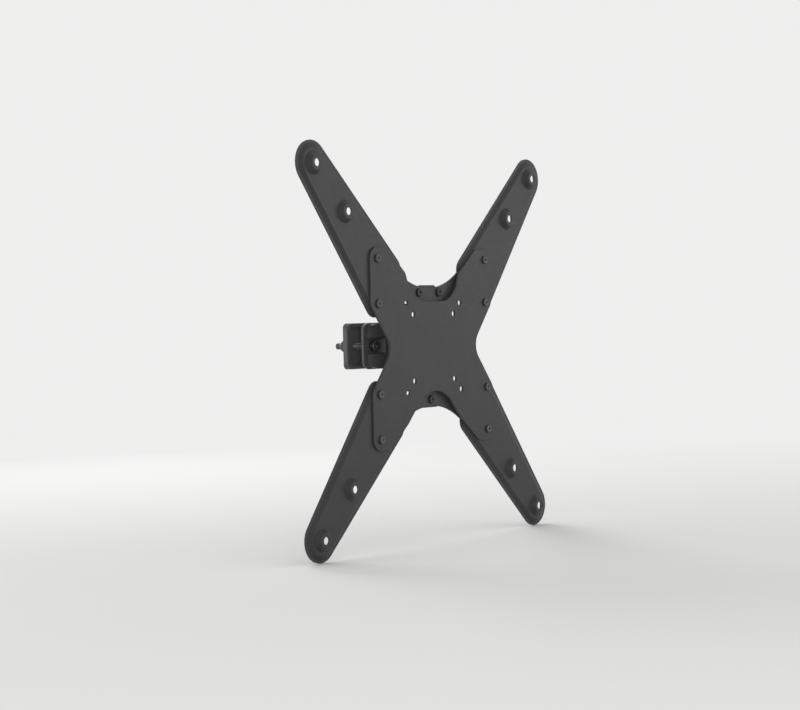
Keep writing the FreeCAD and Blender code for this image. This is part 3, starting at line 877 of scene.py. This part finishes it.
@dataclass
class Viewpoint:
    """The reference camera, in metres, radians and pixels."""

    x: float = -1.670333
    y: float = -1.276152
    z: float = 0.0342426
    yaw: float = 0.8982116
    pitch: float = -0.0202559
    roll: float = -0.0234160
    focal_pixels: float = 1842.751
    picture_width: float = 800.0
    sensor: float = 36.0
    farthest: float = 60.0

    def build(self) -> None:
        """Make the camera and use it."""
        forward = Vector((math.sin(self.yaw) * math.cos(self.pitch),
                          math.cos(self.yaw) * math.cos(self.pitch), math.sin(self.pitch)))
        level = Vector((math.cos(self.yaw), -math.sin(self.yaw), 0.0))
        upright = level.cross(forward)
        right = level * math.cos(self.roll) + upright * math.sin(self.roll)
        up = upright * math.cos(self.roll) - level * math.sin(self.roll)
        data = bpy.data.cameras.new("reference_camera")
        data.sensor_fit = "HORIZONTAL"
        data.sensor_width = self.sensor
        data.lens = self.focal_pixels * self.sensor / self.picture_width
        data.clip_end = self.farthest
        camera = bpy.data.objects.new("reference_camera", data)
        axes = Matrix((right, up, -forward)).transposed().to_4x4()
        camera.matrix_world = Matrix.Translation((self.x, self.y, self.z)) @ axes
        bpy.context.scene.collection.objects.link(camera)
        bpy.context.scene.camera = camera


@dataclass(frozen=True)
class Lamp:
    """One soft round lamp.

    Attributes:
        name: The lamp's name.
        place: Where it hangs, in metres.
        width: How wide it is, in metres.
        watts: How strong it is.
        shadows: True where it casts shadows.
        sheen: True where it only shows in reflections.
    """

    name: str
    place: tuple[float, float, float]
    width: float
    watts: float
    shadows: bool = True
    sheen: bool = False

    def hang(self, target: Vector) -> None:
        """Make the lamp and turn it to a target.

        Args:
            target: The point that it lights.
        """
        data = bpy.data.lights.new(self.name, "AREA")
        data.shape = "DISK"
        data.size = self.width
        data.energy = self.watts
        data.use_shadow = self.shadows
        lamp = bpy.data.objects.new(self.name, data)
        lamp.visible_diffuse = not self.sheen
        place = Vector(self.place)
        aim = (target - place).to_track_quat("-Z", "Y").to_matrix().to_4x4()
        lamp.matrix_world = Matrix.Translation(place) @ aim
        bpy.context.scene.collection.objects.link(lamp)


@dataclass
class Studio:
    """A plain pale floor that fades into a pale surround, and soft lamps."""

    floor_gap: float = 0.0002
    floor_reach: float = 4.0
    floor_sides: int = 96
    fade_start: float = 0.5
    fade_end: float = 1.7
    pale: Colour = (0.86, 0.86, 0.855)
    ambient: float = 0.78

    def build(self) -> None:
        """Make the floor, the surround and the lamps."""
        self.lay_floor()
        self.surround()
        centre = (solid_box[0] + solid_box[1]) / 2.0
        lamps = (
            Lamp("key_lamp", place=(2.3, -2.35, 0.3), width=2.3, watts=15.0, sheen=True),
            Lamp("key_fill_lamp", place=(2.38, -2.43, 0.31), width=2.3, watts=21.0, shadows=False,
                 sheen=True),
            Lamp("glint_lamp", place=(-1.75, -1.75, 0.25), width=0.6, watts=6.0),
            Lamp("side_lamp", place=(-1.75, 1.3, 0.15), width=0.7, watts=2.6, shadows=False),
            Lamp("top_lamp", place=(0.1, 0.3, 1.7), width=0.9, watts=2.0),
            Lamp("back_lamp", place=(0.9, 1.9, 0.9), width=1.2, watts=16.0),
        )
        for lamp in lamps:
            lamp.hang(centre)
        bpy.context.scene.view_settings.view_transform = "Standard"

    def lay_floor(self) -> None:
        """Lay the floor under the lowest point."""
        disc = bmesh.new()
        bmesh.ops.create_circle(disc, cap_ends=True, segments=self.floor_sides, radius=self.floor_reach)
        level = solid_box[0].z - self.floor_gap
        bmesh.ops.translate(disc, verts=disc.verts, vec=(0.0, 0.0, level))
        data = bpy.data.meshes.new("studio_floor")
        disc.to_mesh(data)
        disc.free()
        data.materials.append(self.floor_finish())
        floor = bpy.data.objects.new("studio_floor", data)
        bpy.context.scene.collection.objects.link(floor)

    def floor_finish(self) -> bpy.types.Material:
        """Matt paper that turns into the surround's plain tone away from the object.

        Returns:
            The floor's material.
        """
        material = bpy.data.materials.new("studio_paper")
        material.use_nodes = True
        bench = NodeBench(material.node_tree)
        paper = bench.add("ShaderNodeBsdfDiffuse", {"Color": (*self.pale, 1.0)})
        plain = bench.add("ShaderNodeEmission", {"Color": (*self.pale, 1.0)})
        place = bench.add("ShaderNodeTexCoord").outputs["Object"]
        reach = bench.add("ShaderNodeVectorMath", operation="LENGTH")
        bench.wire(place, reach.inputs[0])
        far = bench.span(reach.outputs["Value"], self.fade_start, self.fade_end, 0.0, 1.0)
        mix = bench.add("ShaderNodeMixShader")
        bench.wire(bench.combine("MULTIPLY", far, self.seen_rays(bench)), mix.inputs[0])
        bench.wire(paper.outputs[0], mix.inputs[1])
        bench.wire(plain.outputs[0], mix.inputs[2])
        output = bench.add("ShaderNodeOutputMaterial")
        bench.wire(mix.outputs[0], output.inputs["Surface"])
        return material

    @staticmethod
    def seen_rays(bench: NodeBench) -> bpy.types.NodeSocket:
        """Pick out the rays that show the surround: seen directly, mirrored or through something clear.

        Args:
            bench: The bench of the material or the world.

        Returns:
            The socket that is 1 for those rays.
        """
        rays = bench.add("ShaderNodeLightPath")
        mirrored = bench.combine("MAXIMUM", rays.outputs["Is Camera Ray"], rays.outputs["Is Glossy Ray"])
        return bench.combine("MAXIMUM", mirrored, rays.outputs["Is Transmission Ray"])

    def surround(self) -> None:
        """Pale to the eye and in reflections, and a soft light on the object."""
        world = bpy.data.worlds.new("studio_surround")
        bpy.context.scene.world = world
        world.use_nodes = True
        bench = NodeBench(world.node_tree)
        shown = bench.add("ShaderNodeBackground", {"Color": (*self.pale, 1.0), "Strength": 1.0})
        light = bench.add("ShaderNodeBackground", {"Color": (*self.pale, 1.0), "Strength": self.ambient})
        mix = bench.add("ShaderNodeMixShader")
        bench.wire(self.seen_rays(bench), mix.inputs[0])
        bench.wire(light.outputs[0], mix.inputs[1])
        bench.wire(shown.outputs[0], mix.inputs[2])
        output = bench.add("ShaderNodeOutputWorld")
        bench.wire(mix.outputs[0], output.inputs["Surface"])


def main() -> None:
    """Build every sub-assembly, then the camera and the studio."""
    logging.basicConfig(level=logging.INFO)
    shop = Workshop()
    for assembly in (PressedHead(), StandOff(), TubeClamp()):
        assembly.build(shop)
        log.info("%s is finished", type(assembly).__name__)
    Viewpoint().build()
    Studio().build()


if __name__ == "__main__":
    main()
